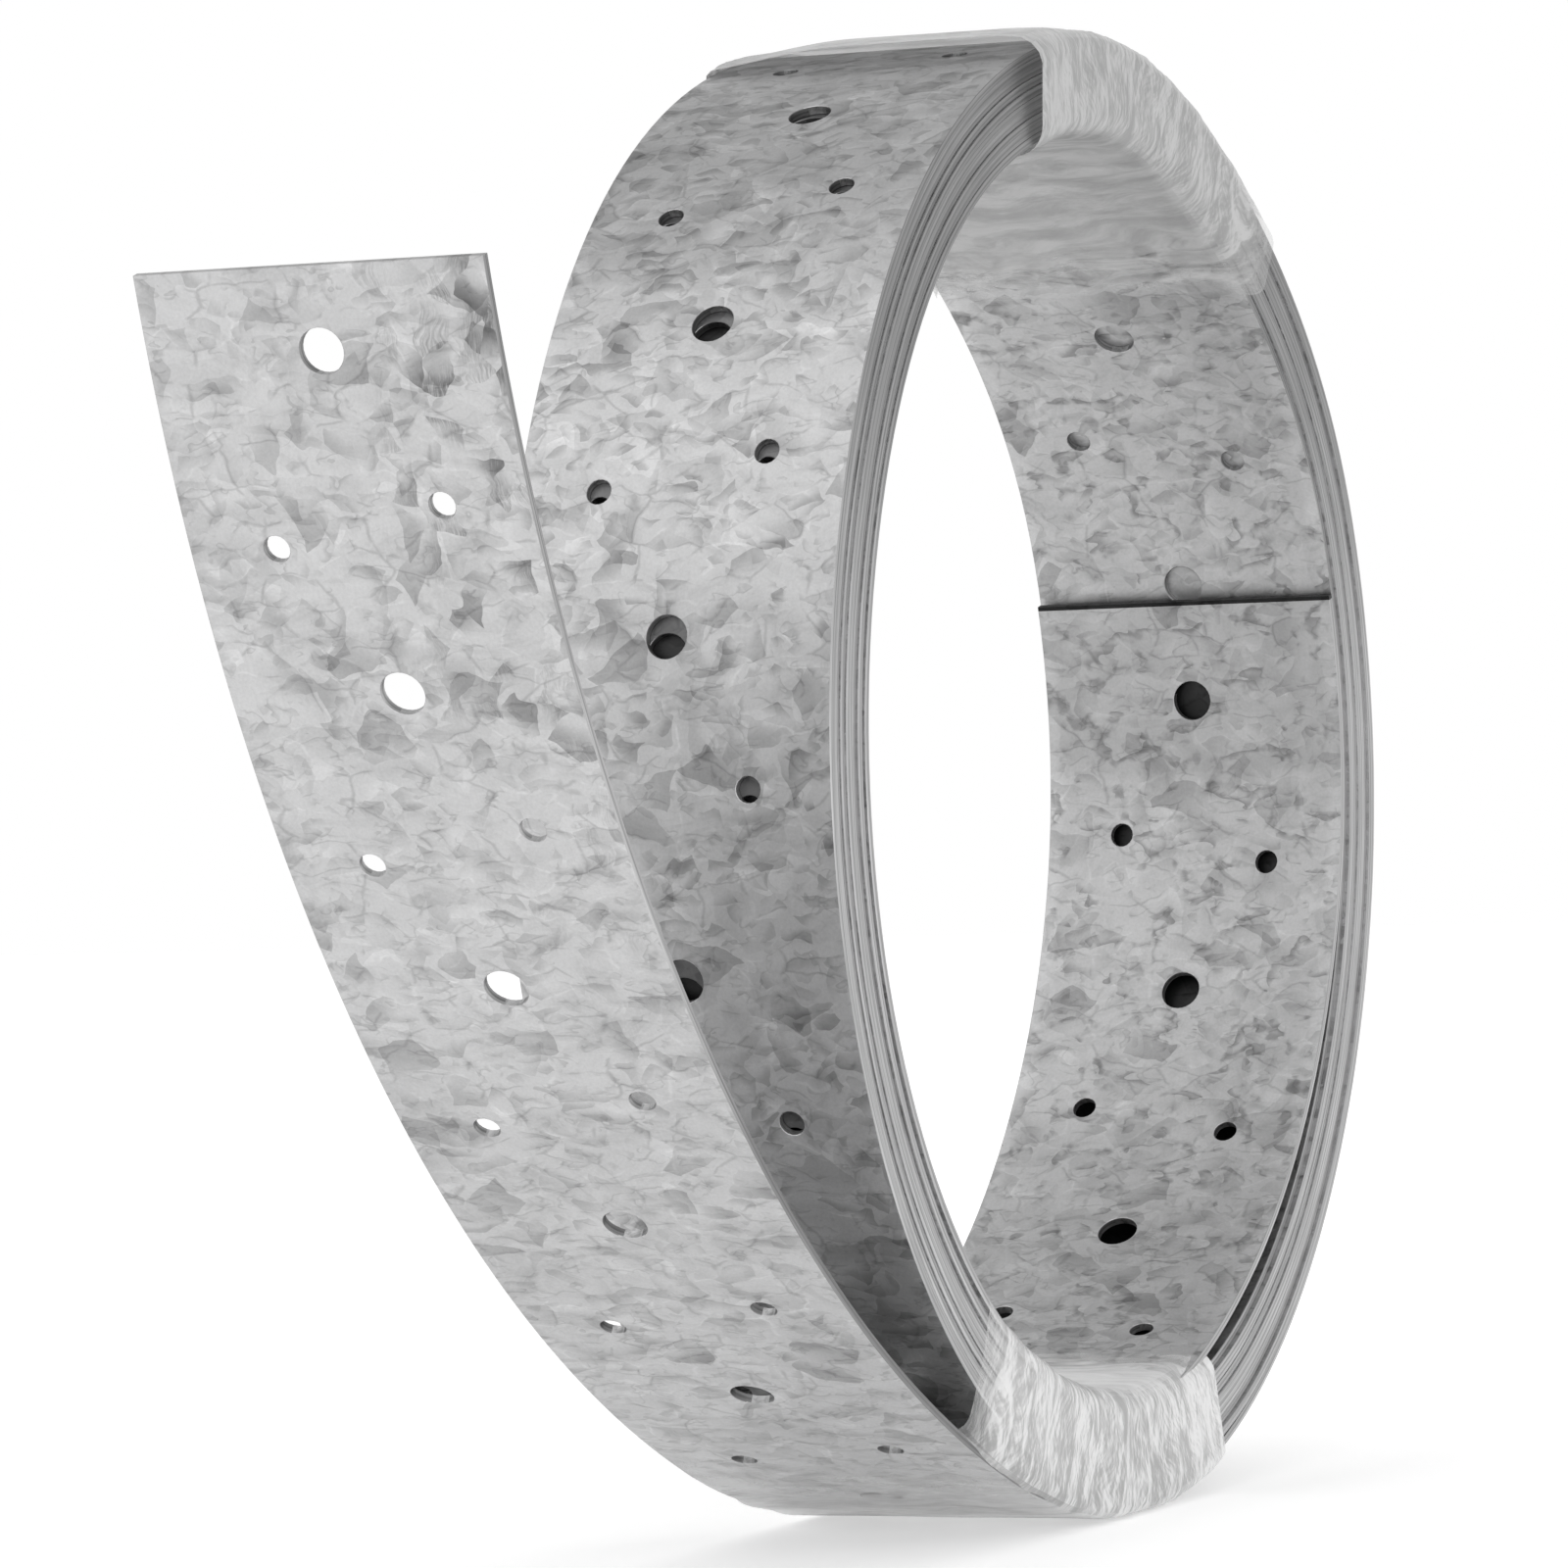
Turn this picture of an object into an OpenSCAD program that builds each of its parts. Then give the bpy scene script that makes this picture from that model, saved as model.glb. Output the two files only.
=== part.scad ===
// Galvanised perforated steel strap wound into a coil that stands on its rim.
// The strap's outer end stands free as a tail, its inner end springs into the bore,
// and two wraps of clear film hold the turns together.
// X runs along the tail, Y along the coil's axis, Z up; the floor is Z = 0.
// Angles are round the coil's axis, from +X towards +Z.

/* [Strap] */
// width of the strap
strap_w = 60; // [50:1:80]
// thickness of the strap
strap_t = 1.5; // [1:0.1:2]
// bevel along the strap's slit edges
edge_bevel = 0.3; // [0.1:0.05:0.4]

/* [Holes] */
// large holes on the middle line
large_d = 7.5; // [6:0.1:11]
// small nail holes in two rows
small_d = 4.5; // [4:0.1:6]
// distance from one large hole to the next
hole_pitch = 57.5; // [48:0.5:70]
// distance between the two rows of small holes
row_gauge = 30; // [22:1:40]
// lead of the near row over the far row
row_stagger = 6; // [0:0.5:12]
// first large hole from the end of the tail
tail_margin = 13.5; // [8:0.5:28]
// first large hole from the inner end
inner_margin = 18; // [8:0.5:28]

/* [Coil] */
// turns that lie on each other
turns = 10; // [6:1:14]
// play between two turns
turn_gap = 0.1; // [0.05:0.05:0.3]
// depth of the line between two turns on the coil's ends
line_depth = 1; // [0.5:0.1:2]
// radius of the bore
bore_r = 114; // [95:0.5:140]
// angle of the seam where the innermost turn ends
seam_angle = 14; // [8:1:24]

/* [Tail] */
// angle at which the tail leaves the coil
leave_angle = 275; // [271:1:282]
// bend radius of the stretch beside the coil
root_r = 170; // [150:1:200]
// turn of the stretch beside the coil
root_turn = 26; // [18:1:30]
// bend radius of the free stretch
free_r = 310; // [260:1:400]
// turn of the free stretch
free_turn = 53; // [35:1:60]

/* [Inner end] */
// angle at which the innermost turn comes away from the coil
flap_angle = 259; // [250:1:270]
// bend radius where it comes away
flap_in_r = 104; // [100:1:108]
// turn of the stretch that comes away
flap_in_turn = 64; // [50:1:70]
// bend radius of the end stretch
flap_out_r = 149; // [140:1:170]
// turn of the end stretch
flap_out_turn = 39; // [20:1:42]

/* [Film wraps] */
// thickness of the wound film
film_t = 0.6; // [0.3:0.1:1.5]
// room between the lower wrap and the bore
film_slack = 2.5; // [2:0.5:6]
// room between the lower wrap and the tail
film_room = 0.2; // [0.1:0.1:3]
// upper wrap from this angle
top_from = 50; // [40:1:60]
// upper wrap to this angle
top_to = 105; // [95:1:120]
// lower wrap from this angle
bottom_from = 233; // [226:1:240]
// lower wrap to this angle
bottom_to = 285; // [284:1:295]

/* [Hidden] */
$fn = 96;
through = 0.5;
lap_turn = 0.2;
hair = 0.01;
half_turn = 180;
full_turn = 360;
pitch = strap_t + turn_gap;
stack_h = turns * pitch - turn_gap;
core_w = strap_w - 2 * line_depth;
outer_r = bore_r + turns * pitch + strap_t;

// the coil is worked out with its seam on the X axis, and turned to the seam's angle at the end
function unit(angle) = [cos(angle), sin(angle)];
function turned(p, angle) = [p[0] * cos(angle) - p[1] * sin(angle), p[0] * sin(angle) + p[1] * cos(angle)];
leave = leave_angle - seam_angle;
flap_start = flap_angle - seam_angle;

// the upper and lower half turns have their centres a quarter pitch either side of the axis,
// so that each turn runs on into the next one out
upper_c = [pitch / 4, 0];
lower_c = -upper_c;
upper_r = bore_r + pitch / 2;

// a stretch of strap is its centre of bend, its outside radius and the angles it runs from and to
root_end = leave - root_turn;
free_end = root_end - free_turn;
root_c = lower_c + (outer_r - root_r) * unit(leave);
free_c = root_c + (root_r - free_r) * unit(root_end);
tail = [[free_c, free_r, free_end, root_end], [root_c, root_r, root_end, leave]];
outer_turn = [
    [lower_c, outer_r, leave, full_turn],
    [upper_c, upper_r + stack_h, 0, half_turn],
    [lower_c, bore_r + stack_h, half_turn, bottom_from - seam_angle]
];

flap_mid = flap_start + flap_in_turn;
flap_tip = flap_mid + flap_out_turn;
flap_in_c = lower_c + (bore_r - flap_in_r) * unit(flap_start);
flap_out_c = flap_in_c + (flap_in_r - flap_out_r) * unit(flap_mid);
flap = [
    [flap_out_c, flap_out_r + strap_t, flap_tip, flap_mid],
    [flap_in_c, flap_in_r + strap_t, flap_mid, flap_start]
];
inner_turn = [
    [lower_c, bore_r + strap_t, flap_start, half_turn],
    [upper_c, upper_r + strap_t, half_turn, 0]
];

// the lower wrap goes round the tail where the tail comes out of it
film_edge = unit(bottom_from - seam_angle);
tail_way = film_edge * free_c + sqrt(pow(free_r, 2) - free_c * free_c + pow(film_edge * free_c, 2));
wrap_r = max(root_r, norm(tail_way * film_edge - root_c)) + film_room;

// box of the whole part, for its place on the floor
tail_tip = turned(free_c + free_r * unit(free_end), seam_angle);
mid_x = (tail_tip[0] + turned(lower_c, seam_angle)[0] + outer_r) / 2;
floor_y = turned(root_c, seam_angle)[1] - wrap_r - film_t;

// length of a stretch and of a row of stretches along the strap's middle
function run(s) = abs(s[3] - s[2]) * PI / half_turn * (s[1] - strap_t / 2);
function row_run(row, i = 0) = i == len(row) ? 0 : run(row[i]) + row_run(row, i + 1);

// way from the start of the coil's own turns to the first large hole in them
function carried(row, first) = first + ceil((row_run(row) - first) / hole_pitch) * hole_pitch - row_run(row);
outer_first = carried(tail, tail_margin);
inner_first = carried(flap, inner_margin);

// the stretch and the angle that lie a given way along a row of stretches
function locate(row, way, i = 0) =
    way > run(row[i]) && i < len(row) - 1
    ? locate(row, way - run(row[i]), i + 1)
    : [row[i], row[i][2] + sign(row[i][3] - row[i][2]) * way / (row[i][1] - strap_t / 2) * half_turn / PI];

module place() {
    translate([-mid_x, 0, -floor_y])
        rotate([90, 0, 0])
            rotate(seam_angle)
                children();
}

module strap_section(inside_r, inset = 0) {
    half_w = strap_w / 2 - inset;
    outside_r = inside_r + strap_t;
    polygon([
        [inside_r + edge_bevel, -half_w],
        [outside_r - edge_bevel, -half_w],
        [outside_r, edge_bevel - half_w],
        [outside_r, half_w - edge_bevel],
        [outside_r - edge_bevel, half_w],
        [inside_r + edge_bevel, half_w],
        [inside_r, half_w - edge_bevel],
        [inside_r, edge_bevel - half_w]
    ]);
}

module sweep(centre, from, to) {
    translate(centre)
        rotate(from)
            mirror([0, to < from ? 1 : 0, 0])
                rotate_extrude(angle = abs(to - from))
                    children();
}

// the stretches of a row, each reaching a little way into the next one and lying a hair inside it
module stretches(row) {
    for (i = [0:len(row) - 1]) {
        s = row[i];
        inset = (len(row) - i) * hair;
        sweep(s[0], s[2], s[3] + sign(s[3] - s[2]) * lap_turn)
            strap_section(s[1] - strap_t - inset, 2 * inset);
    }
}

// turns that lie on each other, closed between their edges
module stack(centre, inside_r, count, from, to) {
    sweep(centre, from, to) {
        translate([inside_r + strap_t / 2, -core_w / 2])
            square([(count - 1) * pitch, core_w]);
        for (k = [0:count - 1])
            strap_section(inside_r + k * pitch);
    }
}

module coil() {
    stack(upper_c, upper_r, turns, 0, half_turn);
    stack(lower_c, bore_r + pitch, turns - 1, half_turn, full_turn);
    stack(lower_c, bore_r, 2, half_turn, flap_start);
    stack(lower_c, bore_r + (turns - 1) * pitch, 2, full_turn, leave);
}

// a hole square to the strap, from its outside down to a depth
module hole(place_on_strap, across, d, depth) {
    s = place_on_strap[0];
    translate(s[0])
        rotate(place_on_strap[1])
            translate([s[1] - depth, 0, across])
                rotate([0, 90, 0])
                    cylinder(d = d, h = depth + through);
}

// the pattern of one large hole and two staggered small ones along a row of stretches
module hole_pattern(row, first, near_side, depth) {
    length = row_run(row);
    for (way = [first:hole_pitch:length])
        hole(locate(row, way), 0, large_d, depth);
    for (side = [-1, 1])
        for (way = [first - (hole_pitch + side * row_stagger) / 2:hole_pitch:length])
            if (way > small_d)
                hole(locate(row, way), side * near_side * row_gauge / 2, small_d, depth);
}

module strap() {
    color([0.72, 0.73, 0.74])
        place()
            difference() {
                union() {
                    coil();
                    stretches(tail);
                    stretches(flap);
                }
                hole_pattern(tail, tail_margin, 1, strap_t + through);
                hole_pattern(outer_turn, outer_first, 1, pitch);
                hole_pattern(flap, inner_margin, -1, strap_t + through);
                hole_pattern(inner_turn, inner_first, -1, strap_t + through);
            }
}

module wrap_top() {
    color([0.85, 0.87, 0.88, 0.5])
        place()
            sweep(upper_c, top_from - seam_angle, top_to - seam_angle)
                difference() {
                    translate([upper_r - film_t, -strap_w / 2 - film_t])
                        square([stack_h + 2 * film_t, strap_w + 2 * film_t]);
                    translate([upper_r, -strap_w / 2])
                        square([stack_h, strap_w]);
                }
}

// what the lower wrap goes round: the turns, the root of the tail and the room beside them
module bundle(over, width) {
    difference() {
        translate(root_c)
            cylinder(r = wrap_r + over, h = width, center = true);
        translate(lower_c)
            cylinder(r = bore_r - film_slack - over, h = width + 2 * through, center = true);
    }
}

module wrap_bottom() {
    film_w = strap_w + 2 * film_t;
    reach = 2 * outer_r;
    mid_angle = (bottom_from + bottom_to) / 2;
    color([0.85, 0.87, 0.88, 0.5])
        place()
            intersection() {
                linear_extrude(2 * film_w, center = true)
                    polygon([
                        [0, 0],
                        reach * unit(bottom_from - seam_angle),
                        reach * unit(mid_angle - seam_angle),
                        reach * unit(bottom_to - seam_angle)
                    ]);
                difference() {
                    bundle(film_t, film_w);
                    bundle(0, strap_w);
                }
            }
}

strap();
wrap_top();
wrap_bottom();
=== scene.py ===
import math
import random
import bpy
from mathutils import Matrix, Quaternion, Vector


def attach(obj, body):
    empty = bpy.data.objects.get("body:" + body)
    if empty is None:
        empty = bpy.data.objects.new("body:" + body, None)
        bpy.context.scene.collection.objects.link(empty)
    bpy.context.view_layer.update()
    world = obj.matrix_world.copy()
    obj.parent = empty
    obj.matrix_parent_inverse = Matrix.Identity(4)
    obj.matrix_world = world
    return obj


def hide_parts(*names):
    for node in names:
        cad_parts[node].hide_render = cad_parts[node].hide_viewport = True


# A coil of galvanised perforated strap that stands on its rim, held by two wraps of clear film.
# Shaping is done in millimetres and each piece is brought to metres when it is put in its place.
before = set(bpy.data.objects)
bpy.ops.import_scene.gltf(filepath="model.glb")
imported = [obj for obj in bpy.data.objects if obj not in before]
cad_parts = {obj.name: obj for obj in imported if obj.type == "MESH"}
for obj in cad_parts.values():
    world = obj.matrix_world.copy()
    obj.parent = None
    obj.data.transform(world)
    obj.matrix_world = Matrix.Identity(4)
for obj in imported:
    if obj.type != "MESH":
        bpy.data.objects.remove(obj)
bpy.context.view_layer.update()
MM = 0.001
TOUCH = 0.01
rng = random.Random(7)

# the strap; wound turns are drawn a hair thicker, so that they lie on each other
WIDTH = 60.0
THICK = 1.5
HAIR = 0.08
EDGE = 0.12
LARGE_R = 3.75
SMALL_R = 2.25
LARGE_SIDES = 28
SMALL_SIDES = 18
PITCH = 57.5
ROW = 15.0
STAGGER = 6.0
TAIL_MARGIN = 13.5

# the coil's axis over the floor, and the bends of the tail and of the inner end
AXIS = Vector((60.23, 133.16))
LEAVE = 275.0
LEAVE_R = 130.75
LEAVE_C = Vector((-0.39, -0.10))
ROOT_R = 169.25
ROOT_TURN = 26.0
FREE_R = 309.25
FREE_TURN = 53.0
TURNS = 10
# the innermost turn ends here, past its whole turns
END_AT = 375.6
# the coil's outside and the middle of its turns, and the step of the strap's path
OUTSIDE_R = 130.97
MIDDLE_R = 122.0
STACK_MIDDLE = 8.0
PATH_STEP = 2.0
# the coil is out of round: pressed in at the lower right, flat under the upper film, and a little
# proud at the upper left. Each place has its angle, half its spread in degrees, and its rise
DENTS = (
    (322.0, 60.0, -2.2),
    (57.0, 36.0, -3.6),
    (131.0, 30.0, 0.6),
)
# all the play between the turns, how much more of it there is on the left, and how unevenly it is shared
PLAY = 0.9
PLAY_LEFT = (190.0, 62.0, 0.35)
PLAY_SPREAD = 0.3
# the turns lie to the side of each other by up to this, which grows over the first turn
SIDE_PLAY = 0.45
SIDE_GROWS = 3.0
# how soon the tail's step outwards dies away in the first turn
STEP_FADES = 12.0
# the inner end comes away from the coil and its tip comes back: first angle, degrees, height
COMES_AWAY = (264.0, 36.0, 3.8)
COMES_BACK = (305.0, 60.0, 2.5)

# the films: room past the strap's near and far edges, lap on the far side, and cells of the sheet
NEAR_ROOM = 1.4
FAR_ROOM = 0.6
LAP = 5.0
LAP_RISE = 0.3
CORNER_STEPS = 6
ARC_STEPS = 60
CELLS_AROUND = 150
CELLS_ALONG = 130
# the folds are made on a sheet squeezed to this share, which draws them out: size, height, kind
SQUEEZE = 0.11
FOLDS = (
    (12.0, 0.9, "SOFT_NOISE"),
    (4.5, 0.3, "HARD_NOISE"),
    (1.8, 0.1, "HARD_NOISE"),
)

# places along the strap, in pitches from the tip of the tail: its near corner, the darker stretch of its
# edges, where it passes into the coil, the coil behind it, and the starts of the second and third turns
TAIL_CORNER = (3.0, 0.4)
EDGE_DARKER_AT = 4.6
EDGE_DARKER_REACH = (2.6, 1.4)
TAIL_TO_COIL = (5.5, 8.0)
BEHIND_TAIL = (16.8, 17.9)
TURN_2 = 20.7
TURN_3 = 34.8
# and in pitches back from the inner end: the turns seen in the bore, the one behind the inner end,
# the stretch by the lower film, the darker stretch at the end, and the cut across it, dark in its own colour
# and in painted shadow
IN_BORE = 30.0
BEHIND_END = (15.8, 12.5)
BY_FILM = (1.6, 2.8, 4.0)
END_DARKER = (0.62, 0.56)
CUT_AND_SHADOW = 0.014
# fields of crystals: size, stretch, shift, share of them that show, and how dark their dark side is
LEAVES = (
    (9.5, (1.1, 0.75, 1.0), 0.0, 0.5, 0.13),
    (7.0, (1.3, 0.7, 1.0), 31.0, 0.45, 0.18),
    (5.5, (0.8, 1.0, 1.0), 67.0, 0.45, 0.22),
    (4.2, (1.2, 0.7, 1.0), 93.0, 0.45, 0.25),
    (3.0, (1.2, 0.75, 1.0), 129.0, 0.4, 0.22),
    (2.0, (1.0, 0.8, 1.0), 157.0, 0.35, 0.14),
    (8.0, (1.0, 0.8, 1.0), 171.0, 0.4, -0.1),
    (4.0, (1.2, 0.7, 1.0), 211.0, 0.35, -0.12),
)

# the studio
WHITE = (1.0, 1.0, 1.0, 1.0)
FLOOR_TONE = (0.82, 0.82, 0.82, 1.0)
FLOOR_GLOW = 0.2
SHOWN_GLOW = 0.15
OVERHEAD_GREY = 0.5
SURROUND = 0.88


def unit(angle):
    return Vector((math.cos(math.radians(angle)), math.sin(math.radians(angle))))


def bump(angle, centre, half):
    away = abs((angle - centre + 180.0) % 360.0 - 180.0)
    if away > half:
        return 0.0
    return 0.5 + 0.5 * math.cos(math.pi * away / half)


def ease(share):
    share = min(1.0, max(0.0, share))
    return 0.5 - 0.5 * math.cos(math.pi * share)


def only(obj):
    bpy.ops.object.select_all(action="DESELECT")
    obj.select_set(True)
    bpy.context.view_layer.objects.active = obj


def edit(obj):
    only(obj)
    bpy.ops.object.mode_set(mode="EDIT")
    bpy.ops.mesh.select_all(action="SELECT")


def done():
    bpy.ops.object.mode_set(mode="OBJECT")


def apply(obj, mod):
    only(obj)
    bpy.ops.object.modifier_apply(modifier=mod.name)


def drop(obj):
    only(obj)
    bpy.ops.object.delete()


def path_curve(name, points):
    data = bpy.data.curves.new(name, "CURVE")
    data.dimensions = "3D"
    data.twist_mode = "Z_UP"
    line = data.splines.new("POLY")
    line.points.add(len(points) - 1)
    for spot, point in zip(line.points, points):
        spot.co = (point[0], point[1], point[2], 1.0)
    obj = bpy.data.objects.new(name, data)
    bpy.context.collection.objects.link(obj)
    return obj


def run_of(points):
    return sum((b - a).length for a, b in zip(points, points[1:]))


def follow(obj, points):
    # the piece is bent along a line of points, its own X running along it
    curve = path_curve("way", points)
    mod = obj.modifiers.new("follow", "CURVE")
    mod.object = curve
    mod.deform_axis = "POS_X"
    apply(obj, mod)
    drop(curve)


# the loose gap and the side play of each turn, outermost first
gap_share = [rng.uniform(1.0 - PLAY_SPREAD, 1.0 + PLAY_SPREAD) for k in range(TURNS + 2)]
side_play = [rng.uniform(-SIDE_PLAY, SIDE_PLAY) for k in range(TURNS + 3)]


def along(values, u):
    k = int(u)
    share = ease(u - k)
    return values[k] * (1.0 - share) + values[k + 1] * share


def coil_radius(angle, u):
    # the strap's middle at an angle, after u turns
    outside = OUTSIDE_R
    for centre, half, rise in DENTS:
        outside += rise * bump(angle, centre, half)
    centre, half, more = PLAY_LEFT
    loose = PLAY + more * bump(angle, centre, half)
    whole = int(u)
    gaps = sum(gap_share[:whole]) + gap_share[whole] * (u - whole)
    gaps = gaps / sum(gap_share[:TURNS])
    return outside - THICK / 2.0 - THICK * u - loose * gaps


def lift(angle):
    # the inner end comes away from the coil over the lower film, and its tip lies close to it again
    first, spread, height = COMES_AWAY
    rise = height * ease((angle - first) / spread)
    first, spread, height = COMES_BACK
    return rise - height * ease((angle - first) / spread)


def strap_path():
    # the middle line of the strap: the free tail, its root beside the coil, and the turns
    points = []
    root_c = LEAVE_C + unit(LEAVE) * (LEAVE_R - ROOT_R)
    bend_at = LEAVE - ROOT_TURN
    free_c = root_c + unit(bend_at) * (ROOT_R - FREE_R)
    for centre, radius, first, last in (
        (free_c, FREE_R, bend_at - FREE_TURN, bend_at),
        (root_c, ROOT_R, bend_at, LEAVE),
    ):
        count = int(math.radians(last - first) * radius / PATH_STEP)
        for k in range(count):
            spot = centre + unit(first + (last - first) * k / count) * radius
            points.append(Vector((spot.x, spot.y, 0.0)))
    start = LEAVE_C + unit(LEAVE) * LEAVE_R
    start_angle = math.degrees(math.atan2(start.y, start.x)) % 360.0
    lead = start.length - coil_radius(start_angle, 0.0)
    whole_turn = 360.0 * TURNS + END_AT - start_angle
    count = int(math.radians(whole_turn) * MIDDLE_R / PATH_STEP)
    for k in range(count + 1):
        angle = start_angle + whole_turn * k / count
        u = (angle - start_angle) / 360.0
        radius = coil_radius(angle % 360.0, u) + lead * math.exp(-STEP_FADES * u)
        radius -= lift(angle - 360.0 * TURNS)
        play = along(side_play, u) * min(1.0, SIDE_GROWS * u)
        spot = unit(angle) * radius
        points.append(Vector((spot.x, spot.y, play)))
    return points


def strap_unit():
    # one pitch of flat strap: its large hole and its two small ones
    bpy.ops.object.select_all(action="DESELECT")
    bpy.ops.mesh.primitive_grid_add(x_subdivisions=12, y_subdivisions=6, size=1)
    piece = bpy.context.object
    edit(piece)
    bpy.ops.transform.resize(value=(PITCH, WIDTH, 1.0))
    bpy.ops.transform.translate(value=(PITCH / 2.0, 0.0, 0.0))
    bpy.ops.transform.rotate(value=math.pi / 2.0, orient_axis="X", center_override=(0.0, 0.0, 0.0))
    done()
    thick = piece.modifiers.new("thick", "SOLIDIFY")
    thick.thickness = THICK + HAIR
    thick.offset = 0.0
    apply(piece, thick)
    small_at = TAIL_MARGIN + PITCH / 2.0
    cutters = []
    for x, z, radius, sides in (
        (TAIL_MARGIN, 0.0, LARGE_R, LARGE_SIDES),
        (small_at - STAGGER / 2.0, ROW, SMALL_R, SMALL_SIDES),
        (small_at + STAGGER / 2.0, -ROW, SMALL_R, SMALL_SIDES),
    ):
        bpy.ops.mesh.primitive_cylinder_add(
            vertices=sides, radius=radius, depth=4.0 * THICK,
            location=(x, 0.0, z), rotation=(math.pi / 2.0, 0.0, 0.0))
        cutters.append(bpy.context.object)
    for cutter in cutters:
        punch = piece.modifiers.new("punch", "BOOLEAN")
        punch.operation = "DIFFERENCE"
        punch.solver = "EXACT"
        punch.object = cutter
        apply(piece, punch)
        drop(cutter)
    edit(piece)
    bpy.ops.mesh.select_mode(type="FACE")
    bpy.ops.mesh.select_all(action="DESELECT")
    done()
    # the faces that the next pitch will cover
    for face in piece.data.polygons:
        at_end = face.center.x < TOUCH or face.center.x > PITCH - TOUCH
        face.select = at_end and abs(face.normal.x) > 0.9
    bpy.ops.object.mode_set(mode="EDIT")
    bpy.ops.mesh.delete(type="FACE")
    done()
    rim = piece.modifiers.new("rim", "BEVEL")
    rim.width = EDGE
    rim.segments = 1
    rim.limit_method = "ANGLE"
    rim.angle_limit = math.radians(40.0)
    apply(piece, rim)
    return piece


def build_strap():
    # the flat strip of like lengths is cut off at the inner end, closed at both ends and wound up;
    # "depth" keeps how far a point lies from the middle of the thickness
    points = strap_path()
    length = run_of(points)
    piece = strap_unit()
    row = piece.modifiers.new("row", "ARRAY")
    row.count = int(length / PITCH) + 1
    row.use_relative_offset = False
    row.use_constant_offset = True
    row.constant_offset_displace = (PITCH, 0.0, 0.0)
    row.use_merge_vertices = True
    row.merge_threshold = 0.002
    row.offset_u = 1.0
    apply(piece, row)
    edit(piece)
    bpy.ops.mesh.bisect(
        plane_co=(length, 0.0, 0.0), plane_no=(1.0, 0.0, 0.0), use_fill=True, clear_outer=True)
    bpy.ops.mesh.select_mode(type="EDGE")
    bpy.ops.mesh.select_all(action="DESELECT")
    bpy.ops.mesh.select_non_manifold(
        extend=False, use_wire=False, use_boundary=True,
        use_multi_face=False, use_non_contiguous=False, use_verts=False)
    bpy.ops.mesh.edge_face_add()
    done()
    depth = piece.data.attributes.new("depth", "FLOAT", "POINT")
    depth.data.foreach_set("value", [vertex.co.y / THICK for vertex in piece.data.vertices])
    follow(piece, points)
    put(piece)
    bpy.ops.object.shade_smooth_by_angle(angle=math.radians(30.0))
    piece.name = "strap_wound"
    return piece


def put(piece):
    # the working plane is stood up, moved to the coil's axis and brought to metres
    only(piece)
    piece.rotation_euler = (math.pi / 2.0, 0.0, 0.0)
    piece.location = (AXIS.x * MM, 0.0, AXIS.y * MM)
    piece.scale = (MM, MM, MM)
    bpy.ops.object.transform_apply(location=True, rotation=True, scale=True)


def film_sheet(around, length, shift):
    # a flat sheet of film with its folds running across it, drawn out from a squeezed sheet
    bpy.ops.object.select_all(action="DESELECT")
    bpy.ops.mesh.primitive_grid_add(x_subdivisions=CELLS_AROUND, y_subdivisions=CELLS_ALONG, size=1)
    piece = bpy.context.object
    edit(piece)
    bpy.ops.transform.resize(value=(around * SQUEEZE, length, 1.0))
    done()
    piece.rotation_euler = (math.pi / 2.0, 0.0, 0.0)
    piece.location = (around * SQUEEZE / 2.0, 0.0, length / 2.0 + shift)
    bpy.ops.object.transform_apply(location=True, rotation=True, scale=True)
    for size, height, kind in FOLDS:
        folds = bpy.data.textures.new("folds", "CLOUDS")
        folds.noise_scale = size
        folds.noise_depth = 1
        folds.noise_type = kind
        crease = piece.modifiers.new("crease", "DISPLACE")
        crease.texture = folds
        crease.texture_coords = "LOCAL"
        crease.direction = "Y"
        crease.mid_level = 0.3
        crease.strength = height
        apply(piece, crease)
    edit(piece)
    bpy.ops.transform.translate(value=(0.0, 0.0, -shift))
    bpy.ops.transform.resize(value=(1.0 / SQUEEZE, 1.0, 1.0), center_override=(0.0, 0.0, 0.0))
    done()
    return piece


def pull(piece, low, high, move, reach):
    # the vertices inside a box are moved, and the sheet round them follows
    edit(piece)
    bpy.ops.mesh.select_mode(type="VERT")
    bpy.ops.mesh.select_all(action="DESELECT")
    done()
    for vertex in piece.data.vertices:
        vertex.select = low[0] <= vertex.co.x <= high[0] and low[1] <= vertex.co.z <= high[1]
    bpy.ops.object.mode_set(mode="EDIT")
    bpy.ops.transform.translate(
        value=move, use_proportional_edit=True,
        proportional_edit_falloff="SMOOTH", proportional_size=reach)
    done()


def section_path(outer, inner):
    # once round the bundle from the middle of its far side, and a little way over the start again
    near = -WIDTH / 2.0 - NEAR_ROOM
    far = WIDTH / 2.0 + FAR_ROOM
    mid = (outer + inner) / 2.0
    spots = [Vector((far, mid, 0.0))]
    # each corner's place, the angle at which its bend starts, and its radius
    for x, y, first, corner in (
        (far, outer, 0.0, 1.5),
        (near, outer, -90.0, 2.5),
        (near, inner, 180.0, 5.0),
        (far, inner, 90.0, 2.0),
    ):
        centre = Vector((x - math.copysign(corner, x), y - math.copysign(corner, y)))
        for k in range(CORNER_STEPS + 1):
            spot = centre + unit(first - 90.0 * k / CORNER_STEPS) * corner
            spots.append(Vector((spot.x, spot.y, 0.0)))
    spots.append(Vector((far + LAP_RISE, mid, 0.0)))
    spots.append(Vector((far + LAP_RISE, mid - LAP, 0.0)))
    return spots


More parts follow.
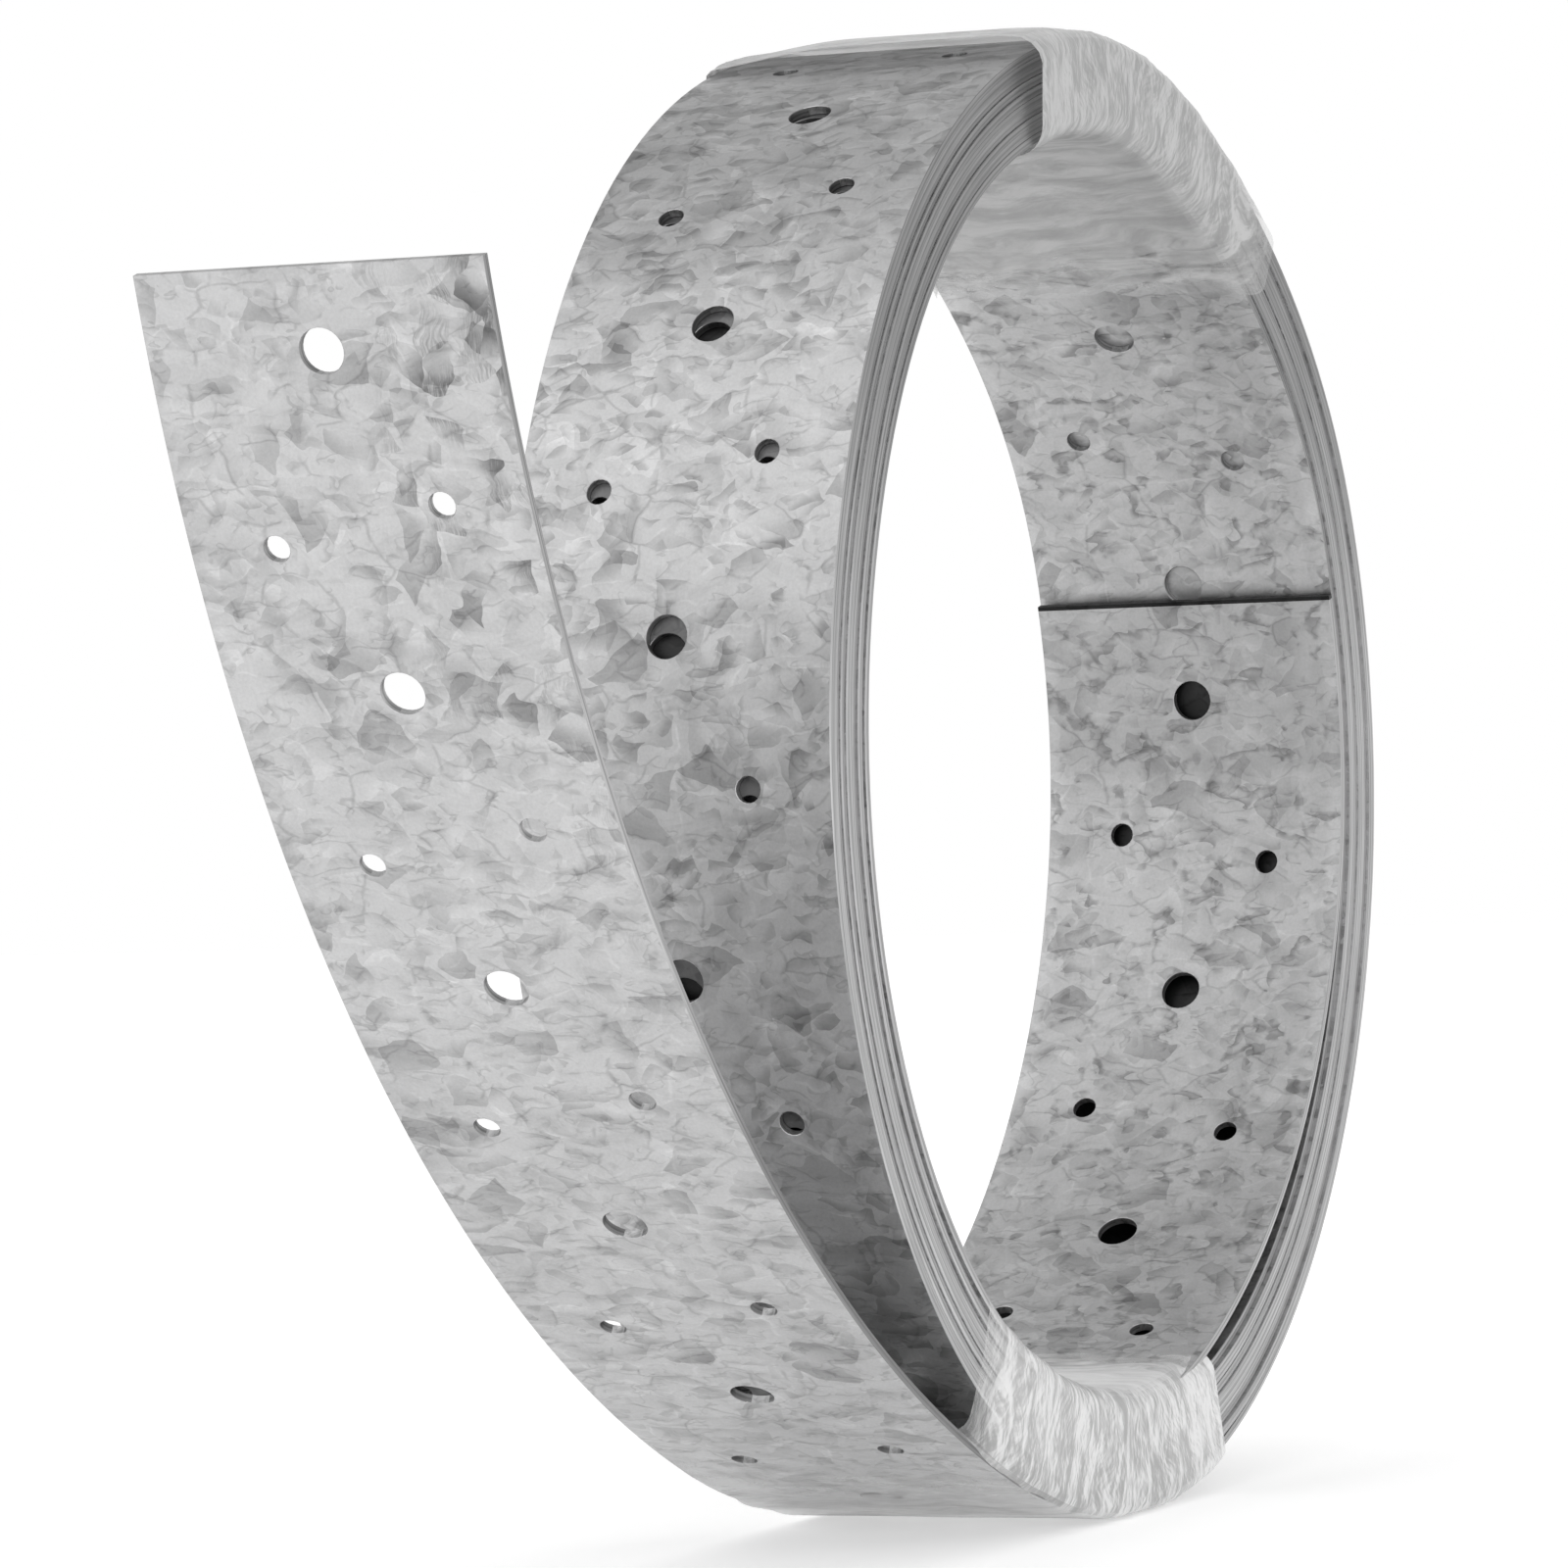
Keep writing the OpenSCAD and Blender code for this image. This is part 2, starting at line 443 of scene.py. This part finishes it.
def taper(piece, grow):
    # a cage round the sleeve, whose outer side is drawn out by these amounts from first end to last
    lows = [min(v.co[i] for v in piece.data.vertices) for i in range(3)]
    highs = [max(v.co[i] for v in piece.data.vertices) for i in range(3)]
    data = bpy.data.lattices.new("cage")
    data.points_u = len(grow)
    data.points_v = 2
    data.points_w = 2
    data.interpolation_type_u = "KEY_CARDINAL"
    cage = bpy.data.objects.new("cage", data)
    bpy.context.collection.objects.link(cage)
    spans = []
    for i in range(3):
        places = [point.co[i] for point in data.points]
        spans.append(max(places) - min(places))
    cage.location = [(a + b) / 2.0 for a, b in zip(lows, highs)]
    cage.scale = [(b - a) / span for a, b, span in zip(lows, highs, spans)]
    for number, point in enumerate(data.points):
        if point.co.y < 0.0:
            point.co_deform.y = point.co.y - grow[number % len(grow)] / cage.scale.y
    bpy.context.view_layer.update()
    mod = piece.modifiers.new("cage", "LATTICE")
    mod.object = cage
    apply(piece, mod)
    drop(cage)


def build_film(name, first, last, radius_at, outer, inner, grow, shift, pulls):
    # a sheet that is rolled round its section and then bent along its arc. The section reaches from
    # outer to inner, shift moves the folds, and each pull has a box, a move and its reach
    section = section_path(outer, inner)
    arc = []
    for k in range(ARC_STEPS + 1):
        angle = first + (last - first) * k / ARC_STEPS
        spot = unit(angle) * radius_at(angle)
        arc.append(Vector((spot.x, spot.y, 0.0)))
    around = run_of(section)
    length = run_of(arc)
    piece = film_sheet(around, length, shift)
    for low, high, move, reach in pulls:
        pull(piece, low, high, move, reach)
    follow(piece, section)
    only(piece)
    piece.rotation_euler = (0.0, math.pi / 2.0, 0.0)
    bpy.ops.object.transform_apply(location=True, rotation=True, scale=True)
    if grow:
        taper(piece, grow)
    follow(piece, arc)
    put(piece)
    bpy.ops.object.shade_smooth()
    piece.name = name
    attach(piece, "root")
    return piece


def mid_of_stack(angle):
    u = ((angle - LEAVE) % 360.0) / 360.0
    return coil_radius(angle % 360.0, u) + THICK / 2.0 - STACK_MIDDLE


def level(angle):
    return MIDDLE_R


strap = build_strap()
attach(strap, "root")
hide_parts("strap")

# the upper film's left edge stands off the strap and its right end is torn to a point
film_top = build_film(
    "film_top", first=53.5, last=106.0, radius_at=mid_of_stack, outer=-8.8, inner=9.6,
    grow=None, shift=400.0, pulls=(
        ((34.0, 109.0), (62.0, 130.0), (0.0, 3.0, 0.0), 30.0),
        ((73.0, -1.0), (82.0, 1.0), (0.0, 0.0, -8.0), 11.0),
    ))
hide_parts("wrap_top")
# the lower film goes round the root of the tail, and is gathered to a point by the bore
film_bottom = build_film(
    "film_bottom", first=232.0, last=285.5, radius_at=level, outer=-10.9, inner=11.6,
    grow=(8.2, 3.5, 0.9, -0.2, -0.7), shift=900.0, pulls=(
        ((118.0, -1.0), (150.0, 1.0), (0.0, 0.0, 9.0), 22.0),
        ((90.0, -1.0), (100.0, 1.0), (0.0, 0.0, -2.0), 9.0),
    ))
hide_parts("wrap_bottom")


def new_material(name):
    mat = bpy.data.materials.new(name)
    mat.use_nodes = True
    mat.node_tree.nodes.clear()
    return mat


def add(tree, kind, inputs=None, **settings):
    node = tree.nodes.new(kind)
    for key, value in settings.items():
        setattr(node, key, value)
    for key, value in (inputs or {}).items():
        if hasattr(value, "links"):
            tree.links.new(value, node.inputs[key])
        else:
            node.inputs[key].default_value = value
    return node


def calc(tree, operation, a, b=0.0, clamp=False):
    return add(tree, "ShaderNodeMath", {0: a, 1: b}, operation=operation, use_clamp=clamp).outputs[0]


def noise(tree, vector, scale, detail=3.0, rough=0.5, twist=0.0):
    return add(tree, "ShaderNodeTexNoise", {
        "Vector": vector, "Scale": scale, "Detail": detail, "Roughness": rough, "Distortion": twist},
        noise_dimensions="2D")


def cells(tree, vector, scale, feature="F1"):
    return add(tree, "ShaderNodeTexVoronoi", {"Vector": vector, "Scale": scale},
               voronoi_dimensions="2D", feature=feature)


def ramp(tree, value, stops):
    node = add(tree, "ShaderNodeValToRGB", {"Fac": value})
    line = node.color_ramp.elements
    while len(line) < len(stops):
        line.new(0.5)
    for stop, (place, tone) in zip(line, stops):
        stop.position = place
        stop.color = (tone, tone, tone, 1.0)
    return node.outputs["Color"]


def vector(tree, operation, a, b=(0.0, 0.0, 0.0)):
    return add(tree, "ShaderNodeVectorMath", {0: a, 1: b}, operation=operation).outputs[0]


def scaled(tree, a, size):
    return add(tree, "ShaderNodeVectorMath", {0: a, 3: size}, operation="SCALE").outputs[0]


def axis_of(tree, place, number):
    return add(tree, "ShaderNodeSeparateXYZ", {0: place}).outputs[number]


def times(tree, a, b):
    return calc(tree, "MULTIPLY", a, b)


def rest_of(tree, share):
    return calc(tree, "SUBTRACT", 1.0, share)


def either(tree, share, a, b):
    return add(tree, "ShaderNodeMix", {0: share, 2: a, 3: b}).outputs[0]


def part_of(tree, colour, channel):
    return add(tree, "ShaderNodeSeparateColor", {0: colour}).outputs[channel]


def smooth(tree, value, low, high):
    return add(tree, "ShaderNodeMapRange", {"Value": value, "From Min": low, "From Max": high},
               interpolation_type="SMOOTHSTEP").outputs[0]


def off_centre(tree, colour):
    return vector(tree, "SUBTRACT", colour, (0.5, 0.5, 0.5))


def darker(tree, tone, depth, share):
    # the tone with up to this share of it taken off
    return times(tree, tone, rest_of(tree, times(tree, share, depth)))


def crystals(tree, spot, size, stretch):
    # one field of crystals: the random colour of each, and how far a point lies to one side in its own
    drawn = vector(tree, "MULTIPLY", spot, stretch)
    field = cells(tree, drawn, 1.0 / size)
    colour = field.outputs["Color"]
    inside = vector(tree, "SUBTRACT", drawn, field.outputs["Position"])
    lean = vector(tree, "NORMALIZE", vector(tree, "MULTIPLY", off_centre(tree, colour), (1.0, 1.0, 0.0)))
    slope = add(tree, "ShaderNodeVectorMath", {0: inside, 1: lean}, operation="DOT_PRODUCT").outputs["Value"]
    return colour, calc(tree, "DIVIDE", slope, size), inside


def strokes(tree, spot, stretch, scale, width):
    # wandering lines that are sharp on one side and fade away on the other, broken into short lengths
    run = noise(tree, vector(tree, "MULTIPLY", spot, stretch), scale, 2.0, 0.5, 0.3).outputs["Fac"]
    run = calc(tree, "SUBTRACT", run, 0.5)
    line = rest_of(tree, smooth(tree, run, 0.0, width))
    line = times(tree, line, calc(tree, "GREATER_THAN", run, 0.0))
    broken = noise(tree, spot, 0.21, 2.0).outputs["Fac"]
    return times(tree, line, smooth(tree, broken, 0.47, 0.62))


def slit_edge(tree, way):
    # a burnished half and a torn half with a line between them, and streaks along both
    depth = add(tree, "ShaderNodeAttribute", attribute_name="depth").outputs["Fac"]
    streak = add(tree, "ShaderNodeCombineXYZ", {0: times(tree, way, 1.6), 1: times(tree, depth, 3.2)})
    streak = noise(tree, streak.outputs[0], 1.0, 3.0, 0.65).outputs["Fac"]
    edge = part_of(tree, ramp(tree, streak, ((0.32, 0.4), (0.5, 0.49), (0.68, 0.6))), 0)
    line = rest_of(tree, smooth(tree, calc(tree, "ABSOLUTE", depth), 0.04, 0.18))
    edge = darker(tree, edge, 0.3, line)
    edge = darker(tree, edge, 0.14, calc(tree, "GREATER_THAN", depth, 0.0))
    # it is darkened towards the top of the coil as a painted shade under the upper film, and is darker
    # beside the tail where that nears the coil
    height = axis_of(tree, add(tree, "ShaderNodeTexCoord").outputs["Object"], 2)
    edge = darker(tree, edge, 0.42, smooth(tree, height, 0.13, 0.23))
    away = calc(tree, "ABSOLUTE", calc(tree, "SUBTRACT", way, EDGE_DARKER_AT))
    return darker(tree, edge, 0.5, smooth(tree, away, *EDGE_DARKER_REACH))


def zinc_material(units):
    # crystals of zinc that overlap like leaves, a few of them dark, with short soft strokes between them.
    # The map runs along the strap, one unit a pitch
    mat = new_material("zinc")
    tree = mat.node_tree
    uv = add(tree, "ShaderNodeUVMap").outputs["UV"]
    flat = vector(tree, "MULTIPLY", uv, (PITCH, WIDTH, 1.0))
    way = axis_of(tree, uv, 0)
    across = axis_of(tree, uv, 1)
    broad = scaled(tree, off_centre(tree, noise(tree, flat, 0.09, 2.0).outputs["Color"]), 5.5)
    fine = scaled(tree, off_centre(tree, noise(tree, flat, 0.45, 1.0).outputs["Color"]), 0.5)
    spot = vector(tree, "ADD", flat, vector(tree, "ADD", broad, fine))
    smudge = vector(tree, "MULTIPLY", flat, (1.0, 0.6, 1.0))
    smudge = noise(tree, smudge, 0.07, 4.0, 0.66, 1.4).outputs["Fac"]
    tone = part_of(tree, ramp(tree, smudge, ((0.26, 0.485), (0.46, 0.56), (0.75, 0.595))), 0)
    # the crystals are bolder on the coil than on the tail
    first_turn = calc(tree, "LESS_THAN", way, TURN_2)
    bold = times(tree, smooth(tree, way, *TAIL_TO_COIL), first_turn)
    bold = calc(tree, "ADD", times(tree, bold, 0.45), 1.0)
    for size, stretch, shift, share, depth in LEAVES:
        moved = vector(tree, "ADD", spot, (shift, 2.0 * shift, 0.0))
        colour, slope, inside = crystals(tree, moved, size, stretch)
        shows = smooth(tree, part_of(tree, colour, 2), 1.0 - share, 1.0)
        leaf = times(tree, smooth(tree, slope, -0.2, 0.45), shows)
        tone = darker(tree, tone, depth, times(tree, leaf, bold))
    # thin outlines round the larger crystals, dark in some places and bright in others
    size, stretch, shift, share, depth = LEAVES[1]
    drawn = vector(tree, "MULTIPLY", vector(tree, "ADD", spot, (shift, 2.0 * shift, 0.0)), stretch)
    rim = cells(tree, drawn, 1.0 / size, "DISTANCE_TO_EDGE").outputs["Distance"]
    rim = rest_of(tree, smooth(tree, rim, 0.0, 0.06))
    some = noise(tree, flat, 0.15, 2.0).outputs["Fac"]
    tone = darker(tree, tone, 0.2, times(tree, rim, smooth(tree, some, 0.47, 0.58)))
    tone = darker(tree, tone, -0.1, times(tree, rim, smooth(tree, some, 0.44, 0.36)))
    # a few crystals that are dark all over, and short strokes, longer ones in the bore
    colour, slope, inside = crystals(tree, spot, 6.5, (1.1, 0.8, 1.0))
    dark = calc(tree, "GREATER_THAN", part_of(tree, colour, 2), 0.94)
    tone = darker(tree, tone, 0.3, times(tree, dark, smooth(tree, slope, -1.2, 0.5)))
    tone = darker(tree, tone, 0.2, strokes(tree, flat, (1.0, 0.6, 1.0), 0.26, 0.08))
    within = calc(tree, "GREATER_THAN", way, units - IN_BORE)
    wrinkles = strokes(tree, flat, (1.0, 0.5, 1.0), 0.13, 0.14)
    tone = darker(tree, tone, 0.38, times(tree, wrinkles, within))
    grain = noise(tree, flat, 1.7, 4.0, 0.75).outputs["Fac"]
    tone = times(tree, tone, part_of(tree, ramp(tree, grain, ((0.3, 0.94), (0.7, 1.05))), 0))
    # sharp feathered crystals by the near corner of the tail
    corner = times(tree, smooth(tree, way, *TAIL_CORNER), smooth(tree, across, 0.6, 0.15))
    colour, slope, inside = crystals(tree, spot, 5.0, (0.8, 1.1, 1.0))
    barbs = vector(tree, "MULTIPLY", inside, (0.4, 3.5, 1.0))
    barbs = noise(tree, barbs, 1.0, 3.0, 0.6).outputs["Fac"]
    feather = calc(tree, "ADD", times(tree, barbs, 0.5), part_of(tree, colour, 2))
    feather = times(tree, smooth(tree, feather, 0.85, 1.2), smooth(tree, slope, -0.6, 0.4))
    tone = darker(tree, tone, 0.62, times(tree, feather, corner))
    # the zinc is a little darker near the cut inner end, and between the turns it is darkened as a painted
    # shade, but not at the edges
    tone = darker(tree, tone, 0.13, smooth(tree, way, units - END_DARKER[0], units - END_DARKER[1]))
    inward = calc(tree, "MINIMUM", across, rest_of(tree, across))
    inward = smooth(tree, inward, 0.02, 0.06)
    for first, last, depth in (
        (TURN_3, units - IN_BORE, 0.9),
        (TURN_2, TURN_3, 0.65),
        (units - BEHIND_END[0], units - BEHIND_END[1], 0.92),
        (units - IN_BORE, units, 0.1),
    ):
        between_turns_shade = calc(tree, "GREATER_THAN", way, first)
        between_turns_shade = times(tree, between_turns_shade, calc(tree, "LESS_THAN", way, last))
        tone = darker(tree, tone, depth, times(tree, between_turns_shade, inward))
    # behind the tail, and by the lower film in the bore, the zinc is painted paler, a painted light where
    # the tail and the film shade it
    tone = darker(tree, tone, -0.3, times(tree, smooth(tree, way, *BEHIND_TAIL), first_turn))
    foot = smooth(tree, way, units - BY_FILM[0], units - BY_FILM[1])
    foot = times(tree, foot, calc(tree, "GREATER_THAN", way, units - BY_FILM[2]))
    tone = darker(tree, tone, -0.24, foot)
    shape = add(tree, "ShaderNodeNewGeometry")
    side = calc(tree, "ABSOLUTE", axis_of(tree, shape.outputs["True Normal"], 1))
    tone = either(tree, calc(tree, "GREATER_THAN", side, 0.4), tone, slit_edge(tree, way))
    # the cut across the inner end, darkened for its own dark colour and as a painted shadow beside it
    tone = darker(tree, tone, 0.94, calc(tree, "GREATER_THAN", way, units - CUT_AND_SHADOW))
    tilt = scaled(tree, off_centre(tree, colour), 0.07)
    facing = vector(tree, "NORMALIZE", vector(tree, "ADD", shape.outputs["Normal"], tilt))
    metal = add(tree, "ShaderNodeCombineColor", {0: tone, 1: tone, 2: times(tree, tone, 1.005)})
    skin = add(tree, "ShaderNodeBsdfPrincipled", {
        "Base Color": metal.outputs[0], "Metallic": 1.0, "Roughness": 0.46, "Normal": facing})
    add(tree, "ShaderNodeOutputMaterial", {"Surface": skin.outputs["BSDF"]})
    return mat


def slanted(tree, uv, slope):
    # the map with its second direction leaning along its first
    second = calc(tree, "ADD", axis_of(tree, uv, 1), times(tree, axis_of(tree, uv, 0), slope))
    return add(tree, "ShaderNodeCombineXYZ", {0: axis_of(tree, uv, 0), 1: second}).outputs[0]


def drawn_out(tree, uv, stretch, detail, rough, twist=0.0):
    return noise(tree, vector(tree, "MULTIPLY", uv, stretch), 1.0, detail, rough, twist).outputs["Fac"]


def film_material(name, end_tones, end_cover, flat_tones, flat_cover, fade, last_fade):
    # fine fibres where the film is gathered on the ends, and a smooth veil where it is drawn tight.
    # Tones and covers run from the low to the high places of the pattern; the film fades out on its
    # flat faces over these shares of its arc at its first and last edges
    mat = new_material(name)
    tree = mat.node_tree
    uv = add(tree, "ShaderNodeUVMap").outputs["UV"]
    along_arc = axis_of(tree, uv, 1)
    sway = off_centre(tree, noise(tree, uv, 5.0, 2.0, 0.5).outputs["Color"])
    swayed = vector(tree, "ADD", uv, vector(tree, "MULTIPLY", sway, (0.05, 0.14, 0.0)))
    fold = drawn_out(tree, swayed, (9.0, 26.0, 1.0), 5.0, 0.62, 0.8)
    fibre = 0.0
    for slope in (0.0, 0.9, -0.7):
        threads = drawn_out(tree, slanted(tree, swayed, slope), (38.0, 150.0, 1.0), 3.0, 0.6)
        fibre = calc(tree, "ADD", fibre, times(tree, threads, 1.0 / 3.0))
    veil = drawn_out(tree, swayed, (9.0, 18.0, 1.0), 6.0, 0.65, 0.3)
    side = axis_of(tree, add(tree, "ShaderNodeNewGeometry").outputs["True Normal"], 1)
    on_near = smooth(tree, times(tree, side, -1.0), 0.2, 0.9)
    gathered = calc(tree, "ADD", times(tree, fold, 0.45), times(tree, fibre, 0.55))
    tight = calc(tree, "ADD", times(tree, veil, 0.8), times(tree, fibre, 0.2))
    on_end = smooth(tree, gathered, 0.42, 0.58)
    on_flat = smooth(tree, tight, 0.34, 0.66)

    def between(share, ends):
        return add(tree, "ShaderNodeMapRange", {
            "Value": share, "To Min": ends[0], "To Max": ends[1]}).outputs[0]

    def ragged(place, spread):
        return calc(tree, "ADD", place, times(tree, calc(tree, "SUBTRACT", fold, 0.5), spread))

    tone = either(tree, on_near, between(on_flat, flat_tones), between(on_end, end_tones))
    cover = either(tree, on_near, between(on_flat, flat_cover), between(on_end, end_cover))
    if last_fade:
        fading = smooth(tree, ragged(rest_of(tree, along_arc), 0.2), 0.0, last_fade)
        cover = times(tree, cover, calc(tree, "MAXIMUM", fading, on_near))
    # the near end's first edge is clearer too
    open_edge = smooth(tree, along_arc, 0.02, 0.1)
    open_edge = calc(tree, "ADD", times(tree, open_edge, 0.55), 0.45)
    fading = smooth(tree, ragged(along_arc, 0.3), 0.0, fade)
    cover = times(tree, cover, calc(tree, "MAXIMUM", fading, times(tree, on_near, open_edge)))
    grey = add(tree, "ShaderNodeCombineColor", {0: tone, 1: tone, 2: tone})
    clear = add(tree, "ShaderNodeBsdfTransparent")
    skin = add(tree, "ShaderNodeBsdfPrincipled", {
        "Base Color": grey.outputs[0], "Roughness": 0.34, "IOR": 1.55})
    both = add(tree, "ShaderNodeMixShader", {0: cover, 1: clear.outputs[0], 2: skin.outputs[0]})
    add(tree, "ShaderNodeOutputMaterial", {"Surface": both.outputs[0]})
    return mat


def dress(piece, mat):
    piece.data.materials.clear()
    piece.data.materials.append(mat)


dress(strap, zinc_material(run_of(strap_path()) / PITCH))
dress(film_top, film_material(
    "clear film", end_tones=(0.4, 0.54), end_cover=(0.76, 0.92),
    flat_tones=(0.48, 0.62), flat_cover=(0.56, 0.72), fade=0.12, last_fade=0.0))
# the film at the foot is paler than the upper film, partly a whiter film and partly a painted light on its
# side that faces the floor in shade
dress(film_bottom, film_material(
    "clear film at the foot", end_tones=(0.55, 0.86), end_cover=(0.74, 0.95),
    flat_tones=(0.92, 0.97), flat_cover=(0.8, 0.92), fade=0.6, last_fade=0.2))


def shown(tree):
    # 1 for what is looked at straight, in a reflection or through something clear
    ray = add(tree, "ShaderNodeLightPath").outputs
    mirrored = calc(tree, "MAXIMUM", ray["Is Glossy Ray"], ray["Is Transmission Ray"])
    return calc(tree, "MAXIMUM", ray["Is Camera Ray"], mirrored)


# a pale floor that glows a little, a white surround that is greyer overhead on the right, and soft light
bpy.ops.object.select_all(action="DESELECT")
bpy.ops.mesh.primitive_plane_add(size=6.0, location=(0.0, 0.0, 0.0))
floor = bpy.context.object
floor.name = "floor"
pale = new_material("pale floor")
tree = pale.node_tree
matt = add(tree, "ShaderNodeBsdfDiffuse", {"Color": FLOOR_TONE})
glow = calc(tree, "ADD", times(tree, shown(tree), SHOWN_GLOW), FLOOR_GLOW)
glow = add(tree, "ShaderNodeEmission", {"Strength": glow})
both = add(tree, "ShaderNodeAddShader", {0: matt.outputs[0], 1: glow.outputs[0]})
add(tree, "ShaderNodeOutputMaterial", {"Surface": both.outputs[0]})
floor.data.materials.append(pale)

scene = bpy.context.scene
world = bpy.data.worlds.new("surround")
scene.world = world
world.use_nodes = True
tree = world.node_tree
tree.nodes.clear()
toward = add(tree, "ShaderNodeTexCoord").outputs["Generated"]
rightward = axis_of(tree, toward, 0)
upward = axis_of(tree, toward, 2)
overhead = times(tree, smooth(tree, upward, 0.2, 0.8), smooth(tree, rightward, -0.4, 0.3))
overhead = times(tree, overhead, OVERHEAD_GREY)
seen = add(tree, "ShaderNodeBackground", {"Color": WHITE, "Strength": rest_of(tree, overhead)})
lit = add(tree, "ShaderNodeBackground", {"Color": WHITE, "Strength": SURROUND})
both = add(tree, "ShaderNodeMixShader", {0: shown(tree), 1: lit.outputs[0], 2: seen.outputs[0]})
add(tree, "ShaderNodeOutputWorld", {"Surface": both.outputs[0]})


def lamp(name, spot, aim, size, power):
    data = bpy.data.lights.new(name, "AREA")
    data.energy = power
    data.size = size
    obj = bpy.data.objects.new(name, data)
    bpy.context.collection.objects.link(obj)
    obj.location = spot
    obj.rotation_euler = (Vector(aim) - Vector(spot)).to_track_quat("-Z", "Y").to_euler()


lamp("key", spot=(-1.5, 0.4, 2.0), aim=(0.0, 0.0, 0.13), size=2.4, power=5.0)
lamp("front", spot=(-1.5, -1.1, 0.7), aim=(-0.05, 0.0, 0.03), size=1.2, power=4.0)

# the camera, at the photograph's viewing angle
camera_data = bpy.data.cameras.new("camera")
camera = bpy.data.objects.new("camera", camera_data)
bpy.context.collection.objects.link(camera)
camera.location = (-1.3041, -0.5761, 0.1520)
look = Vector((0.91218, 0.40958, -0.01332))
roll = Quaternion((0, 0, 1), math.radians(-2.05))
camera.rotation_euler = (look.to_track_quat("-Z", "Y") @ roll).to_euler()
camera_data.sensor_width = 36.0
camera_data.lens = 188.84
camera_data.clip_start = 0.05
scene.camera = camera

scene.view_settings.view_transform = "Standard"
